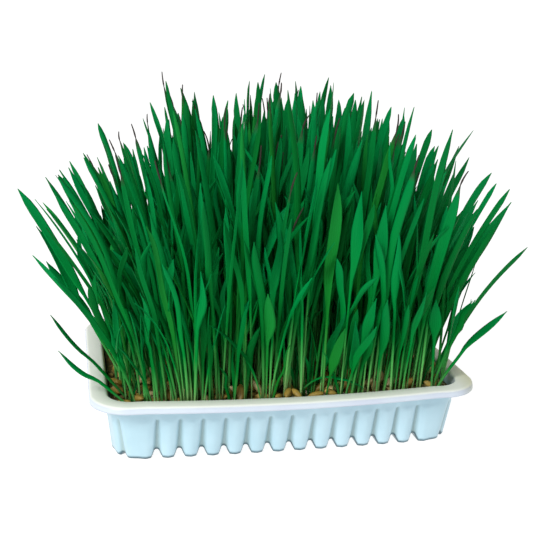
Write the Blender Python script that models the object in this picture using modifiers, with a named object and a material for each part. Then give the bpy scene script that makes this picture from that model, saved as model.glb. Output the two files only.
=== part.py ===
"""Wheatgrass growing in a fluted plastic tray.

Metres, +Z up. The origin is the middle of the tray's foot plane, and the front faces -Y.
"""

import math
import random
from collections import namedtuple

import bmesh
import bpy
from mathutils import Vector
from mathutils.bvhtree import BVHTree

# Tray, outside measures at the corners of the rim
RIM_WIDTH = 0.180
RIM_DEPTH = 0.130
TRAY_HEIGHT = 0.0294
SHEET = 0.0008
FLANGE = 0.0083
SKIRT_DROP = 0.0032
RIM_RADIUS = 0.018
WALL_RADIUS = 0.0115
FOOT_INSET = 0.0111
FOOT_CHAMFER = 0.0012
RIM_BOW = 0.0040
FOOT_BOW = 0.0012

# Grooves between the ribs of the walls, and the channels that they open into under the base
GROOVE_PITCH = 0.01012
FRONT_GROOVES = 13
SIDE_GROOVES = 8
GROOVE_TOP = 0.0228
CHANNEL_HEIGHT = 0.0036
HEAD_EDGE, HEAD_FLOOR = 0.0012, 0.0004
HEEL_DEPTH, HEEL_EDGE, HEEL_FLOOR = 0.0019, 0.0025, 0.0011
BOW_KNOTS = (0.5, 2.5, 4.5, FRONT_GROOVES / 2)

# Growing medium and the mat of sprouted grains on it
GAP = 0.0003
MEDIUM_TOP = 0.0210
MEDIUM_FOOT_INSET = 0.0144
MEDIUM_INSET = 0.0108
MEDIUM_RADIUS = 0.0095
MAT_THICKNESS = 0.0017
SEED_LENGTH = 0.0078
SEED_THICKNESS = 0.0036
SEED_LIFT = (0.0004, 0.0010)
SEEDS_PER_STRIP = 7
SEED_OF_SEEDS = 11

# Rows of grass
ROWS = 12
FIRST_ROW_Y = -0.050
PLANTS_PER_ROW = 30
ROW_HALF = 0.0705
SLOT_HALF = 0.0745
ROOT_HALF_WIDTH = 0.0011
ROOT_DEPTH = 0.0034
ROOT_PROUD = 0.0004
STEM_SUNK = 0.0020
BLADE_LENGTH = 0.145
EDGE_SHORTER = 0.036
CREST_X = 0.006
LEFT_SPLAY, RIGHT_SPLAY = 0.033, 0.020
DEPTH_SPLAY = 0.020
SWAY = 0.012
LENGTH_SHARES = (0.56, 1.0, 0.88)
SECTIONS = (0.0, 0.27, 0.60, 1.0)
STEM_ROOT_WIDTH = 0.0015
STEM_WIDTH = 0.0026
BLADE_WIDTHS = (0.0050, 0.0074)
BLADE_DEPTHS = (0.0012, 0.0013, 0.0010)
CLEARANCE = 0.0005
TRIES = 16
SEED_OF_BLADES = 4

# Blades that stray from the field: row, root x, then where the blade bends to, its tip and width.
# The furthest tips of all are these, as far out to the left as to the right and front as back.
STRAYS = (
    (1, -0.0712, (-0.0860, -0.044, 0.0420), (-0.1060, -0.046, 0.0660), 0.0044),
    (0, -0.0705, (-0.0840, -0.049, 0.0360), (-0.1030, -0.050, 0.0510), 0.0040),
    (2, -0.0712, (-0.0860, -0.034, 0.0700), (-0.1180, -0.034, 0.1190), 0.0066),
    (3, -0.0712, (-0.0900, -0.024, 0.0600), (-0.1110, -0.026, 0.1010), 0.0060),
    (4, -0.0712, (-0.0860, -0.014, 0.0560), (-0.1070, -0.018, 0.0830), 0.0052),
    (1, 0.0712, (0.0760, -0.046, 0.0440), (0.0880, -0.050, 0.0680), 0.0044),
    (0, 0.0708, (0.0780, -0.052, 0.0420), (0.1010, -0.056, 0.0640), 0.0042),
    (3, 0.0712, (0.0840, -0.026, 0.0700), (0.1130, -0.028, 0.1100), 0.0064),
    (4, 0.0712, (0.0860, -0.014, 0.0640), (0.1180, -0.016, 0.1070), 0.0066),
    (5, 0.0712, (0.0840, -0.004, 0.0760), (0.1120, -0.006, 0.1210), 0.0060),
    (0, 0.0020, (0.0130, -0.053, 0.0440), (0.0340, -0.057, 0.0295), 0.0040),
    (0, -0.0330, (-0.0370, -0.057, 0.0800), (-0.0450, -0.083, 0.1220), 0.0062),
    (11, 0.0300, (0.0340, 0.057, 0.0840), (0.0400, 0.083, 0.1300), 0.0064),
)

Level = namedtuple("Level", "inset radius bow z groove_z depth edge floor")
Blade = namedtuple("Blade", "path width turn")


def clear_scene():
    for obj in list(bpy.data.objects):
        bpy.data.objects.remove(obj, do_unlink=True)


def lerp(a, b, t):
    return a + (b - a) * t


def make_material(name, colour, roughness):
    material = bpy.data.materials.new(name)
    material.use_nodes = True
    shader = material.node_tree.nodes["Principled BSDF"]
    shader.inputs["Base Color"].default_value = (*colour, 1.0)
    shader.inputs["Roughness"].default_value = roughness
    return material


def make_object(name, points, faces, collection):
    mesh = bpy.data.meshes.new(name)
    mesh.from_pydata([tuple(point) for point in points], [], faces)
    obj = bpy.data.objects.new(name, mesh)
    collection.objects.link(obj)
    return obj


def finish_object(obj, material, parent):
    obj.data.materials.clear()
    obj.data.materials.append(material)
    obj.parent = parent
    obj.data.shade_smooth()
    obj.data.set_sharp_from_angle(angle=math.radians(35))


def combine(body, pieces, operation):
    """Applies one Boolean of a whole collection to the body, then removes the collection."""
    modifier = body.modifiers.new(operation.lower(), "BOOLEAN")
    modifier.operation = operation
    modifier.operand_type = "COLLECTION"
    modifier.collection = pieces
    graph = bpy.context.evaluated_depsgraph_get()
    joined = bpy.data.meshes.new_from_object(body.evaluated_get(graph))
    body.modifiers.remove(modifier)
    old = body.data
    body.data = joined
    bpy.data.meshes.remove(old)
    joined.name = body.name
    for piece in list(pieces.objects):
        bpy.data.objects.remove(piece, do_unlink=True)
    bpy.data.collections.remove(pieces)


def side_stations(count, level):
    """Places along one side of the tray: rib middles, and the edges and floors of its grooves."""
    found = [(-count / 2 * GROOVE_PITCH, "rib")]
    for index in range(count):
        middle = (index - (count - 1) / 2) * GROOVE_PITCH
        found += [
            (middle - level.edge, "edge"),
            (middle - level.floor, "floor"),
            (middle + level.floor, "floor"),
            (middle + level.edge, "edge"),
            (middle + GROOVE_PITCH / 2, "rib"),
        ]
    return found


def plain_side_stations(is_long):
    """Places along a side without grooves: where its bow changes direction, and its ends."""
    if not is_long:
        return [(end * SIDE_GROOVES / 2 * GROOVE_PITCH, "rib") for end in (-1, 1)]
    knots = [-knot for knot in reversed(BOW_KNOTS)] + list(BOW_KNOTS)
    return [(knot * GROOVE_PITCH, "rib") for knot in knots]


def corner_stations(level):
    """Angles round one corner, which has a groove of its own half way round."""
    middle = math.radians(45)
    edge = level.edge / level.radius
    floor = level.floor / level.radius
    return [
        (math.radians(13), "rib"),
        (middle - edge, "edge"),
        (middle - floor, "floor"),
        (middle + floor, "floor"),
        (middle + edge, "edge"),
        (math.radians(77), "rib"),
    ]


def bow_at(along, bow):
    """Outward bow of a long side: straight stretches between points of a parabola, at rib middles."""
    first, last = BOW_KNOTS[0], BOW_KNOTS[-1]
    heights = [bow * (1 - ((knot - first) / (last - first)) ** 2) for knot in BOW_KNOTS]
    at = abs(along) / GROOVE_PITCH
    if at <= first:
        return bow
    for near, far, high, low in zip(BOW_KNOTS, BOW_KNOTS[1:], heights, heights[1:]):
        if at <= far:
            return lerp(high, low, (at - near) / (far - near))
    return 0.0


def outline(level, grooved=True):
    """Points round the tray at one level, counterclockwise from above."""
    points = []

    def add(flat, role):
        z = level.groove_z if role == "floor" else level.z
        points.append(Vector((flat.x, flat.y, z)))

    for side in range(4):
        along = Vector((math.cos(side * math.pi / 2), math.sin(side * math.pi / 2)))
        out = Vector((along.y, -along.x))
        is_long = side % 2 == 0
        reach = (RIM_DEPTH if is_long else RIM_WIDTH) / 2 - level.inset
        other = (RIM_WIDTH if is_long else RIM_DEPTH) / 2 - level.inset
        stations = plain_side_stations(is_long)
        if grooved:
            stations = side_stations(FRONT_GROOVES if is_long else SIDE_GROOVES, level)
        for at, role in stations:
            push = bow_at(at, level.bow) if is_long else 0.0
            sunk = level.depth if role == "floor" else 0.0
            add(along * at + out * (reach + push - sunk), role)
        centre = along * (other - level.radius) + out * (reach - level.radius)
        for turn, role in corner_stations(level):
            towards = out * math.cos(turn) + along * math.sin(turn)
            sunk = level.depth if role == "floor" else 0.0
            add(centre + towards * (level.radius - sunk), role)
    return points


def plain_level(inset, radius, z, bow):
    return Level(inset, radius, bow, z, z, 0.0, HEAD_EDGE, HEAD_FLOOR)


def wall_inset(z):
    """Inset of the walls' outer face from the rim, which grows towards the feet."""
    return lerp(FOOT_INSET, FLANGE - SHEET, z / (TRAY_HEIGHT - SHEET))


def bow_of_height(z):
    return lerp(FOOT_BOW, RIM_BOW, z / TRAY_HEIGHT)


def tray_levels():
    """Levels of the underside of the sheet, from the foot of the skirt to the feet."""
    under = TRAY_HEIGHT - SHEET
    heel = FOOT_CHAMFER
    return [
        plain_level(SHEET, RIM_RADIUS - SHEET, TRAY_HEIGHT - SKIRT_DROP, RIM_BOW),
        plain_level(SHEET, RIM_RADIUS - SHEET, under, RIM_BOW),
        plain_level(wall_inset(under), WALL_RADIUS, under, RIM_BOW),
        plain_level(wall_inset(GROOVE_TOP), WALL_RADIUS, GROOVE_TOP, RIM_BOW),
        Level(wall_inset(heel), WALL_RADIUS, bow_of_height(heel),
              heel, CHANNEL_HEIGHT + heel / 2, HEEL_DEPTH, HEEL_EDGE, HEEL_FLOOR),
        Level(wall_inset(0) + FOOT_CHAMFER, WALL_RADIUS - FOOT_CHAMFER, FOOT_BOW,
              0.0, CHANNEL_HEIGHT, HEEL_DEPTH - FOOT_CHAMFER / 2, HEEL_EDGE, HEEL_FLOOR),
    ]


def base_grid(mesh, foot):
    """Base of feet and channels, as a grid of vertices. Each channel runs under the tray from
    front to back, and those of the short sides run in to the first of them."""
    across = side_stations(FRONT_GROOVES, foot)
    deep = side_stations(SIDE_GROOVES, foot)
    margin = (FRONT_GROOVES - 1) / 2 * GROOVE_PITCH + foot.edge
    grid = []
    for x, x_role in across:
        column = []
        for y, y_role in deep:
            in_margin = abs(x) > margin - GAP
            raised = x_role == "floor" or (y_role == "floor" and in_margin)
            column.append(mesh.verts.new((x, y, CHANNEL_HEIGHT if raised else 0.0)))
        grid.append(column)
    for left, right in zip(grid, grid[1:]):
        for low in range(len(deep) - 1):
            mesh.faces.new((left[low], left[low + 1], right[low + 1], right[low]))
    return grid


def grid_rim(grid):
    """The grid's outer vertices in the order of an outline, each corner repeated for its arc."""
    sides = [
        [column[0] for column in grid],
        grid[-1],
        [column[-1] for column in reversed(grid)],
        grid[0][::-1],
    ]
    arc = len(corner_stations(plain_level(0.0, WALL_RADIUS, 0.0, 0.0)))
    found = []
    for side in sides:
        found += side + [side[-1]] * arc
    return found


def build_tray(collection):
    """One thin sheet: skirt, flange, fluted walls and base, thickened towards the inside."""
    mesh = bmesh.new()
    levels = tray_levels()
    rings = [[mesh.verts.new(point) for point in outline(level)] for level in levels]
    rings.append(grid_rim(base_grid(mesh, levels[-1])))
    for upper, lower in zip(rings, rings[1:]):
        for index, vertex in enumerate(upper):
            after = (index + 1) % len(upper)
            corners = [lower[index], lower[after], upper[after], vertex]
            if lower[index] == lower[after]:
                corners.pop(0)
            mesh.faces.new(corners)
    data = bpy.data.meshes.new("tray")
    mesh.to_mesh(data)
    mesh.free()
    tray = bpy.data.objects.new("tray", data)
    collection.objects.link(tray)
    sheet = tray.modifiers.new("sheet", "SOLIDIFY")
    sheet.thickness = SHEET
    sheet.offset = -1.0
    sheet.use_even_offset = True
    return tray


def build_block(name, low, high, collection):
    """A solid with the tray's rounded outline at two levels."""
    bottom, top = outline(low, grooved=False), outline(high, grooved=False)
    count = len(bottom)
    faces = [tuple(range(count))[::-1], tuple(range(count, 2 * count))]
    for index in range(count):
        after = (index + 1) % count
        faces.append((index, after, count + after, count + index))
    return make_object(name, bottom + top, faces, collection)


def row_y(row):
    return lerp(FIRST_ROW_Y, -FIRST_ROW_Y, row / (ROWS - 1))


def add_box(name, low, high, collection):
    mesh = bmesh.new()
    bmesh.ops.create_cube(mesh, size=1.0)
    size = Vector(high) - Vector(low)
    bmesh.ops.scale(mesh, vec=size, verts=mesh.verts)
    bmesh.ops.translate(mesh, vec=Vector(low) + size / 2, verts=mesh.verts)
    data = bpy.data.meshes.new(name)
    mesh.to_mesh(data)
    mesh.free()
    obj = bpy.data.objects.new(name, data)
    collection.objects.link(obj)
    return obj


def root_floor():
    """Underside of the strands of roots."""
    return mat_top() + ROOT_PROUD - ROOT_DEPTH


def mat_top():
    return MEDIUM_TOP + GAP + MAT_THICKNESS


def cut_slots(body, scene_collection):
    """A plain slot for each row of plants."""
    cutters = bpy.data.collections.new("slots")
    scene_collection.children.link(cutters)
    half = ROOT_HALF_WIDTH + GAP
    for row in range(ROWS):
        low = (-SLOT_HALF, row_y(row) - half, root_floor() - GAP)
        high = (SLOT_HALF, row_y(row) + half, mat_top() + MAT_THICKNESS)
        add_box(f"slot_{row + 1:02d}", low, high, cutters)
    combine(body, cutters, "DIFFERENCE")


def bend(root, control, tip, share):
    """Point of a quadratic curve from the root to the tip."""
    return root * (1 - share) ** 2 + control * (2 * share * (1 - share)) + tip * share ** 2


def stand_height(x):
    """Height of the longest blades, which is greatest a little right of the middle."""
    return BLADE_LENGTH - EDGE_SHORTER * (abs(x - CREST_X) / ROW_HALF) ** 2.6


def field_blade(dice, row, x):
    """A blade of the even field. Blades near the edge are shorter and splay further out."""
    root = Vector((x, row_y(row), mat_top() + ROOT_PROUD - STEM_SUNK))
    across = x / ROW_HALF
    deep = root.y / FIRST_ROW_Y
    height = stand_height(x) * dice.triangular(*LENGTH_SHARES)
    side_splay = RIGHT_SPLAY if x > 0 else LEFT_SPLAY
    splay_x = math.copysign(side_splay * abs(across) ** 1.7, across) + dice.uniform(-SWAY, SWAY)
    splay_y = -DEPTH_SPLAY * deep + dice.uniform(-SWAY, SWAY)
    tip = root + Vector((splay_x, splay_y, height))
    control = root + Vector((splay_x * 0.25, splay_y * 0.25, height * dice.uniform(0.5, 0.6)))
    path = [bend(root, control, tip, share) for share in SECTIONS]
    return Blade(path, dice.uniform(*BLADE_WIDTHS), dice.uniform(-0.65, 0.65))


def stray_blade(stray):
    row, x, control, tip, width = stray
    root = Vector((x, row_y(row), mat_top() + ROOT_PROUD - STEM_SUNK))
    lean = Vector(tip) - root
    turn = math.radians(60) if lean.z < abs(lean.x) * 1.6 else math.radians(20)
    path = [bend(root, Vector(control), Vector(tip), share) for share in SECTIONS]
    return Blade(path, width, math.copysign(turn, -lean.x))


def blade_solid(blade, extra=0.0):
    """Closed three-sided blade: two edges and a keel from a narrow stem to a pointed tip."""
    edge = Vector((math.cos(blade.turn), math.sin(blade.turn), 0.0))
    widths = (STEM_ROOT_WIDTH, STEM_WIDTH, blade.width)
    points, faces = [], [(0, 2, 1)]
    for index, (centre, width, depth) in enumerate(zip(blade.path, widths, BLADE_DEPTHS)):
        along = blade.path[index + 1] - blade.path[max(index - 1, 0)]
        keel = along.cross(edge).normalized()
        back = centre - keel * (depth + extra) / 3
        points.append(back - edge * (width + extra) / 2)
        points.append(back + edge * (width + extra) / 2)
        points.append(centre + keel * (depth + extra) * 2 / 3)
    points.append(blade.path[-1])
    for ring in range(0, len(points) - 4, 3):
        for side in range(3):
            low, after = ring + side, ring + (side + 1) % 3
            faces += [(low, after, after + 3), (low, after + 3, low + 3)]
    last = len(points) - 1
    faces += [(last - 3, last - 2, last), (last - 2, last - 1, last), (last - 1, last - 3, last)]
    return points, faces


def box_of(points):
    return [(min(p[axis] for p in points), max(p[axis] for p in points)) for axis in range(3)]


def boxes_meet(one, other):
    return all(a[0] <= b[1] and b[0] <= a[1] for a, b in zip(one, other))


def is_clear(solid, grown):
    """Whether a solid keeps clear of all those that have grown already."""
    box = box_of(solid[0])
    tree = None
    for other_box, other_tree in grown:
        if not boxes_meet(box, other_box):
            continue
        tree = tree or BVHTree.FromPolygons(*solid)
        if tree.overlap(other_tree):
            return False
    return True


def grow(blade, grown):
    solid = blade_solid(blade)
    grown.append((box_of(solid[0]), BVHTree.FromPolygons(*solid)))
    return solid


def plan_grass():
    """Blades of each row. A blade that would cross another is drawn again with another bend."""
    dice = random.Random(SEED_OF_BLADES)
    grown = []
    rows = [[] for _ in range(ROWS)]
    for stray in STRAYS:
        rows[stray[0]].append(grow(stray_blade(stray), grown))
    step = 2 * ROW_HALF / PLANTS_PER_ROW
    for row in range(ROWS):
        for plant in range(PLANTS_PER_ROW):
            x = -ROW_HALF + (plant + 0.5) * step + dice.uniform(-0.25, 0.25) * step
            for _ in range(TRIES):
                blade = field_blade(dice, row, x)
                if is_clear(blade_solid(blade, CLEARANCE), grown):
                    rows[row].append(grow(blade, grown))
                    break
    return rows, grown


def build_row(row, blades, collection):
    """One row of plants: stems and blades joined to the strand of roots that they share."""
    name = f"grass_row_{row + 1:02d}"
    low = (-ROW_HALF - ROOT_HALF_WIDTH, row_y(row) - ROOT_HALF_WIDTH, root_floor())
    high = (ROW_HALF + ROOT_HALF_WIDTH, row_y(row) + ROOT_HALF_WIDTH, mat_top() + ROOT_PROUD)
    strand = add_box(name, low, high, collection)
    plants = bpy.data.collections.new("plants")
    collection.children.link(plants)
    for points, faces in blades:
        make_object("plant", points, faces, plants)
    combine(strand, plants, "UNION")
    return strand


def seed_solid(middle, turn, tilt, size):
    """A grain as a four-sided spindle, its long axis turned and tilted a little."""
    mesh = bmesh.new()
    bmesh.ops.create_uvsphere(mesh, u_segments=4, v_segments=3, radius=0.5)
    long_axis = Vector((math.cos(turn), math.sin(turn), tilt)).normalized()
    rotation = long_axis.to_track_quat("Z", "Y").to_matrix()
    for vertex in mesh.verts:
        flat = Vector((vertex.co.x * SEED_THICKNESS, vertex.co.y * SEED_THICKNESS,
                       vertex.co.z * SEED_LENGTH)) * size
        vertex.co = middle + rotation @ flat
    points = [vertex.co.copy() for vertex in mesh.verts]
    faces = [tuple(vertex.index for vertex in face.verts) for face in mesh.faces]
    mesh.free()
    return points, faces


def plan_seeds(grown):
    """Grains in the strips between the rows, each clear of the stems and of one another."""
    dice = random.Random(SEED_OF_SEEDS)
    pitch = 2 * -FIRST_ROW_Y / (ROWS - 1)
    step = 2 * ROW_HALF / SEEDS_PER_STRIP
    placed = []
    laid = list(grown)
    for strip in range(ROWS - 1):
        for place in range(SEEDS_PER_STRIP):
            x = -ROW_HALF + (place + dice.uniform(0.2, 0.8)) * step
            y = row_y(strip) + pitch * dice.uniform(0.45, 0.55)
            middle = Vector((x, y, mat_top() + dice.uniform(*SEED_LIFT)))
            turn = dice.uniform(-0.35, 0.35)
            seed = seed_solid(middle, turn, dice.uniform(-0.2, 0.2), dice.uniform(0.85, 1.1))
            if is_clear(seed, laid):
                placed.append(seed)
                laid.append((box_of(seed[0]), BVHTree.FromPolygons(*seed)))
    return placed


def build_mat(grown, collection):
    bow = bow_of_height(MEDIUM_TOP)
    low = plain_level(MEDIUM_INSET, MEDIUM_RADIUS, MEDIUM_TOP + GAP, bow)
    mat = build_block("seed_mat", low, low._replace(z=mat_top(), groove_z=mat_top()), collection)
    cut_slots(mat, collection)
    grains = bpy.data.collections.new("grains")
    collection.children.link(grains)
    for points, faces in plan_seeds(grown):
        make_object("grain", points, faces, grains)
    combine(mat, grains, "UNION")
    return mat


def build_medium(collection):
    foot = CHANNEL_HEIGHT + SHEET + GAP
    low = plain_level(MEDIUM_FOOT_INSET, MEDIUM_RADIUS, foot, bow_of_height(foot))
    high = plain_level(MEDIUM_INSET, MEDIUM_RADIUS, MEDIUM_TOP, bow_of_height(MEDIUM_TOP))
    medium = build_block("growing_medium", low, high, collection)
    cut_slots(medium, collection)
    return medium


def main():
    clear_scene()
    collection = bpy.data.collections.new("wheatgrass_tray")
    bpy.context.scene.collection.children.link(collection)
    frame = bpy.data.objects.new("tray_frame", None)
    collection.objects.link(frame)
    plastic = make_material("white_plastic", (0.78, 0.83, 0.88), 0.35)
    soil = make_material("growing_medium", (0.045, 0.028, 0.015), 0.95)
    husk = make_material("grain_husk", (0.30, 0.17, 0.06), 0.7)
    grass = make_material("grass_green", (0.012, 0.16, 0.03), 0.5)
    finish_object(build_tray(collection), plastic, frame)
    finish_object(build_medium(collection), soil, frame)
    rows, grown = plan_grass()
    finish_object(build_mat(grown, collection), husk, frame)
    for row, blades in enumerate(rows):
        finish_object(build_row(row, blades, collection), grass, frame)


main()
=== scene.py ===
"""Looks of the wheatgrass tray: fluted plastic, bed of sprouted grain and fine grass blades."""

import math
import random
from collections import defaultdict, namedtuple
from functools import partial

import bmesh
import bpy
import numpy as np
from mathutils import Matrix, Vector, noise
from mathutils.bvhtree import BVHTree


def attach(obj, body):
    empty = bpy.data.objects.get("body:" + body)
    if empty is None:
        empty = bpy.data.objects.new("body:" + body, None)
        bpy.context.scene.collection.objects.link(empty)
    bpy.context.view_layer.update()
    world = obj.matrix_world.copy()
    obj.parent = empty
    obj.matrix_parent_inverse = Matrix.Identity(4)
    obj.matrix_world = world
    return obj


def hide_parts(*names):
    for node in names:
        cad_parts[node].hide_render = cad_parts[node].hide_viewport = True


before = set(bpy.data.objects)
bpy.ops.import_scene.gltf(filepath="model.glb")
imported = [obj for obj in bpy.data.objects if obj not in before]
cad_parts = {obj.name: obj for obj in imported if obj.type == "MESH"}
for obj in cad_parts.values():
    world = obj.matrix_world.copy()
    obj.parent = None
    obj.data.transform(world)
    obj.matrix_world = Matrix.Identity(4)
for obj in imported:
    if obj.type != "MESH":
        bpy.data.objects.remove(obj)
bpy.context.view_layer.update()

# Camera, solved from the rim, feet and grooves of the tray
FOCAL_PX = 928.7
IMAGE_PX = 533.0
CAMERA_PLACE = (-0.09557, -0.43761, 0.18810)
CAMERA_YAW_PITCH_ROLL = (0.2119, 0.2503, 0.0296)
SENSOR_MM = 36.0

# Light and floor
SKY_STRENGTH = 0.36
KEY_PLACE, KEY_TARGET = (-0.75, -0.80, 0.80), (0.0, 0.0, 0.08)
KEY_SIZE, KEY_POWER, KEY_COLOUR = 0.55, 13.0, (1.0, 0.99, 0.96)
FLOOR_HALF = 60.0

# Tray
RIM_WIDTH, RIM_DEPTH, TRAY_HEIGHT = 0.180, 0.130, 0.0294
SHEET = 0.0008
FLANGE, SKIRT_DROP = 0.0083, 0.0032
RIM_RADIUS, WALL_RADIUS = 0.018, 0.0115
FOOT_INSET = 0.0111
RIM_BOW, FOOT_BOW = 0.0040, 0.0012
GROOVE_PITCH = 0.01012
FRONT_GROOVES, SIDE_GROOVES = 13, 8
GROOVE_TOP, CHANNEL_HEIGHT = 0.0206, 0.0034
GROOVE_DEPTH, RIB_CROWN = 0.0021, 0.0010
GROOVE_HALF_TOP, GROOVE_HALF_LOW = 0.0012, 0.0021
GROOVE_PLACES = (-0.0037, -0.0026, -0.0018, -0.0011, -0.0005, 0.0, 0.0005, 0.0011, 0.0018, 0.0026, 0.0037)
NOTCH_FLAT, NOTCH_HALF = 0.0007, 0.0027
CORNER_GROOVE_SHARE = 0.45
FOOT_ROUND = 0.0013
RIM_FOLD, LIP_FOLD = 0.0007, 0.0009
SKIRT_FLARE, SKIRT_EDGE = 0.06, 0.0008
FLANGE_CROWN = 0.0002
BAND_HEIGHTS = (0.0262, 0.0246)
WALL_SHARES = (0.0, 0.03, 0.06, 0.09, 0.13, 0.2, 0.3, 0.4, 0.5, 0.6, 0.7, 0.8, 0.88, 0.94, 0.97, 1.0)
# Painted shadow line: its share at the foot of the wall and under the tray, and the share of the painted
# groove shade under the tray
WALL_FOOT_SHADOW, UNDERSIDE_SHADOW, UNDERSIDE_GROOVE_SHADE = 0.6, 0.15, 0.3

# Bed of sprouted grain
GAP = 0.0003
MEDIUM_TOP = 0.0210
MAT_THICKNESS = 0.0017
MAT_TOP = MEDIUM_TOP + GAP + MAT_THICKNESS
SEED_LENGTH, SEED_THICKNESS = 0.0078, 0.0036
SEED_LIFT = (0.0004, 0.0010)
SEEDS_PER_STRIP = 7
SEED_OF_SEEDS = 11
SEED_OF_FINE_PARTS = 23
BED_CELL, BED_WELD, BED_TAPER = 0.0014, 0.0002, 0.984
BED_RISE, LUMP_HEIGHT, FINE_LUMP_HEIGHT = 0.0006, 0.0008, 0.0003
MORE_GRAINS, CRUMBS, ROOT_HAIRS = 1200, 420, 230
GRAIN_PILE, GRAIN_DROPS = 0.0050, 10
GRAIN_TILT, GRAIN_SIZES = 0.6, (0.80, 1.22)
CRUMB_RADII = (0.0005, 0.0015)
HAIR_STEPS, HAIR_STEP = 7, 0.0013
HAIR_RADII = (0.00012, 0.00024)

# Rounded outlines inside the tray's wall, and how far along x and y things are strewn
Edge = namedtuple("Edge", "inset radius bow")
BED_EDGE = Edge(0.0096, 0.0095, 0.0038)
GRAIN_END_EDGE = Edge(0.0099, 0.0093, 0.0037)
GRAIN_EDGE, GRAIN_SPREAD = Edge(0.0115, 0.009, 0.0037), (0.079, 0.058)
CRUMB_EDGE, CRUMB_SPREAD = Edge(0.0112, 0.009, 0.0037), (0.080, 0.058)
HAIR_EDGE, HAIR_SPREAD = Edge(0.0118, 0.009, 0.0037), (0.078, 0.057)
STEM_EDGE, STEM_SPREAD = Edge(0.0135, 0.009, 0.0034), (0.077, 0.056)

# Rows of grass, by the rule that the CAD rows follow
ROWS = 12
FIRST_ROW_Y = -0.050
PLANTS_PER_ROW = 30
ROW_HALF = 0.0705
ROOT_PROUD = 0.0004
STEM_SUNK = 0.0020
BLADE_LENGTH = 0.145
EDGE_SHORTER = 0.036
CREST_X = 0.006
LEFT_SPLAY, RIGHT_SPLAY, DEPTH_SPLAY = 0.033, 0.020, 0.020
SWAY = 0.012
LENGTH_SHARES = (0.56, 1.0, 0.88)
SECTIONS = (0.0, 0.27, 0.60, 1.0)
STEM_ROOT_WIDTH, STEM_WIDTH = 0.0015, 0.0026
BLADE_WIDTHS = (0.0050, 0.0074)
BLADE_DEPTHS = (0.0012, 0.0013, 0.0010)
CLEARANCE = 0.0005
TRIES = 16
SEED_OF_BLADES = 4

# Blades that stand away from the others: row, root x, control point, tip, width, and the share of
# the width that the finer leaf keeps
STRAYS = (
    (1, -0.0712, (-0.086, -0.044, 0.042), (-0.106, -0.046, 0.066), 0.0044, 0.60),
    (0, -0.0705, (-0.084, -0.049, 0.036), (-0.103, -0.050, 0.051), 0.004, 1.0),
    (2, -0.0712, (-0.086, -0.034, 0.070), (-0.118, -0.034, 0.119), 0.0066, 0.60),
    (3, -0.0712, (-0.090, -0.024, 0.060), (-0.111, -0.026, 0.101), 0.006, 0.95),
    (4, -0.0712, (-0.086, -0.014, 0.056), (-0.107, -0.018, 0.083), 0.0052, 0.85),
    (1, 0.0712, (0.076, -0.046, 0.044), (0.088, -0.050, 0.068), 0.0044, 0.80),
    (0, 0.0708, (0.078, -0.052, 0.042), (0.101, -0.056, 0.064), 0.0042, 1.0),
    (3, 0.0712, (0.084, -0.026, 0.070), (0.113, -0.028, 0.110), 0.0064, 0.90),
    (4, 0.0712, (0.086, -0.014, 0.064), (0.118, -0.016, 0.107), 0.0066, 0.80),
    (5, 0.0712, (0.084, -0.004, 0.076), (0.112, -0.006, 0.121), 0.006, 0.70),
    (0, 0.002, (0.013, -0.053, 0.044), (0.034, -0.057, 0.0295), 0.004, 0.90),
    (0, -0.033, (-0.037, -0.057, 0.080), (-0.045, -0.083, 0.122), 0.0062, 0.65),
    (11, 0.030, (0.034, 0.057, 0.084), (0.040, 0.083, 0.130), 0.0064, 0.65),
)

# Finer shape of the leaves. SLIM_SHARES are of a CAD blade's width, and opening shares of a length
SLIM_ROOT_WIDTH, SLIM_STEM_WIDTH = 0.0009, 0.0014
SLIM_SHARES = (0.46, 0.92, 0.60)
FRONT_SLIMMER, LEFT_SLIMMER = 0.76, 0.66
LEFT_SLIMMER_PLACES = (-0.055, 0.010)
STRAY_OPENING_SHARE = 0.46
TIP_LENGTHS, TIPPED_WIDTHS = (0.013, 0.030), (0.0030, 0.0068)
TIP_WIDTH = 0.00050
LEAF_THICKNESS = 0.00038
LEAF_SIDES, PLANT_RINGS, SIDE_LEAF_RINGS = 8, 18, 12
WAVE = 0.0012
OPENING_SHARE = 0.30
CORE_SHARE = 0.55
FINE_SECTIONS = (0.0, 0.30, 0.60, 0.86, 1.0)
FINE_DEPTHS = (0.0009, 0.0010, 0.0010, 0.0008)
THREAD_STEPS, THREAD_WIDTH = 4, 0.00085
THREAD_SHARE, THREAD_LENGTHS = 0.20, (0.004, 0.010)
THREAD_TOP, THREAD_MOST_X = 0.1660, 0.060
CROWD_CELL = 0.010
SIDE_LEAF_STARTS = ((0.16, 0.34), (0.34, 0.56))
SIDE_LEAF_WIDTHS = (0.0026, 0.0054)
SIDE_LEAF_TRIES = 8
SIDE_LEAF_FREE = 0.2
SIDE_LEAF_OPENS = 0.06
FRONT_REACH = 0.072
SIDE_REACHES, SIDE_REACH_HEIGHTS = (0.078, 0.101), (0.045, 0.120)
FILLER_FOOT = MAT_TOP - 0.0006
Form = namedtuple("Form", "opens wide narrows fullness stem")

# Plants that fill the stand: places tried, heights as shares of the stand's, widths, sway, how much
# they crowd to the front (1 is evenly), where they open, their least tone and the rings of a leaf
Filler = namedtuple("Filler", "tries heights widths sway front opens least_tone rings")
FILLERS = {
    "blades_broad": Filler(60, (0.36, 0.60), (0.0056, 0.0074), 0.006, 4.0, 0.52, 0.45, 18),
    "blades_in_front": Filler(3000, (0.26, 0.78), (0.0022, 0.0052), 0.010, 2.2, 0.34, 0.0, 15),
    "blades_between": Filler(4200, (0.55, 1.00), (0.0026, 0.0046), 0.011, 1.0, OPENING_SHARE, 0.0, 15),
    "young_shoots": Filler(1000, (0.10, 0.45), (0.0011, 0.0022), 0.007, 1.5, OPENING_SHARE, 0.0, 10),
}

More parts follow.
